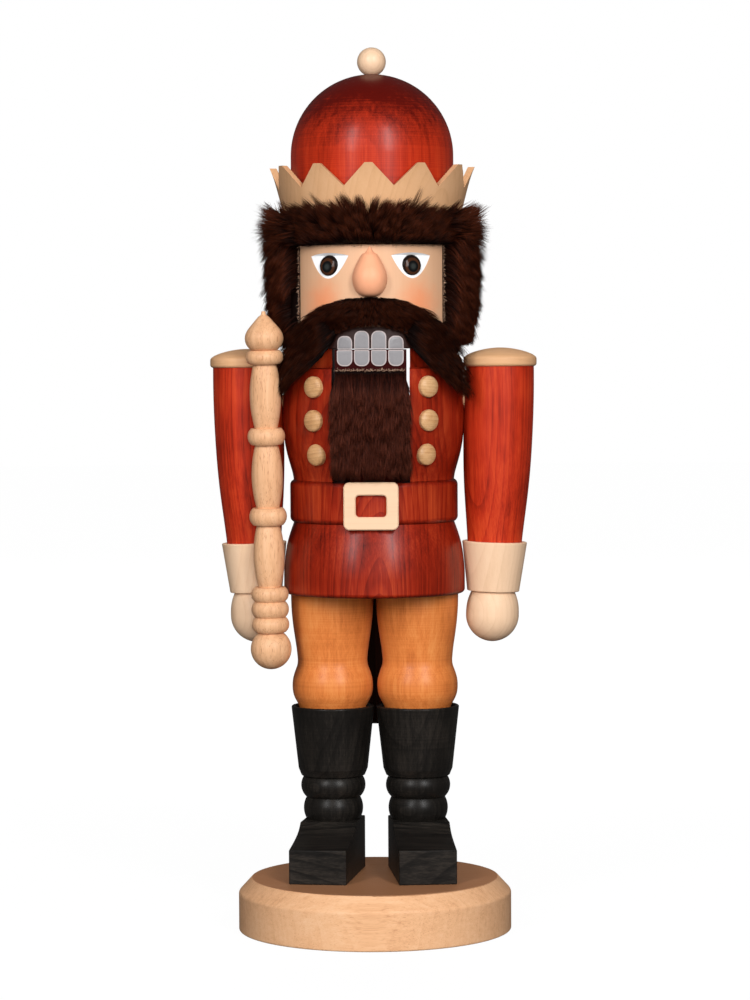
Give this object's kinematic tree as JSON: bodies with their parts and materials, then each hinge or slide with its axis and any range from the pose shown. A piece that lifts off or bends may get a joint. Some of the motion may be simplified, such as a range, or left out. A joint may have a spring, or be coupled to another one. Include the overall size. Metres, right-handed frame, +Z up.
{
  "type": "nutcracker figure",
  "caption": "Turned wooden nutcracker king on a round base, with a sceptre, a fur wig and beard, and a jaw worked by a lever behind its back.",
  "frame": {"origin": "middle of the base's underside", "axes": "+Z up along the figure, the figure faces -Y, +X is the figure's left side"},
  "size_m": [0.1456, 0.1284, 0.3906],
  "materials": {
    "beech": "sanded, clear matt varnish",
    "maple": "sanded, clear matt varnish",
    "red_stain": "red-brown stain under satin varnish",
    "orange_stain": "orange-brown stain under satin varnish",
    "black_stain": "black stain under satin varnish",
    "flesh_stain": "flesh tint under matt varnish",
    "plain_wood": "plain",
    "fur": "long-pile fur",
    "eye_gloss": "high gloss",
    "steel": "zinc plated"
  },
  "bodies": {
    "figure": {"ankle_dowels": "plain_wood", "base_plate": "beech", "belt_buckle": "maple", "boot_left": "black_stain", "boot_right": "black_stain", "cap_ball": "maple", "coat_buttons": "maple", "crown_ring": "maple", "cuff_left": "maple", "cuff_right": "maple", "eye_left": "eye_gloss", "eye_right": "eye_gloss", "foot_left": "black_stain", "foot_right": "black_stain", "foot_screws": "steel", "hair_fringe": "fur", "hair_wig": "fur", "hand_left": "maple", "hand_right": "maple", "hat_dome": "red_stain", "hat_dowel": "plain_wood", "head_block": "flesh_stain", "hinge_pin": "plain_wood", "hip_dowels": "plain_wood", "knee_dowels": "plain_wood", "leg_left": "orange_stain", "leg_right": "orange_stain", "moustache": "fur", "neck_dowels": "plain_wood", "nose": "flesh_stain", "sceptre": "beech", "sceptre_dowel": "plain_wood", "shoulder_cap_left": "maple", "shoulder_cap_right": "maple", "shoulder_dowels": "plain_wood", "sleeve_left": "red_stain", "sleeve_right": "red_stain", "torso": "red_stain", "wrist_dowels": "plain_wood"},
    "jaw": {"jaw_lever": "black_stain", "beard": "fur"}
  },
  "joints": [
    {"name": "jaw_hinge", "type": "hinge", "parent": "figure", "child": "jaw", "pos_m": [0, 0.01, 0.2167], "axis": [1, 0, 0], "range_deg": [0, 35], "deforming": ["beard"]}
  ]
}
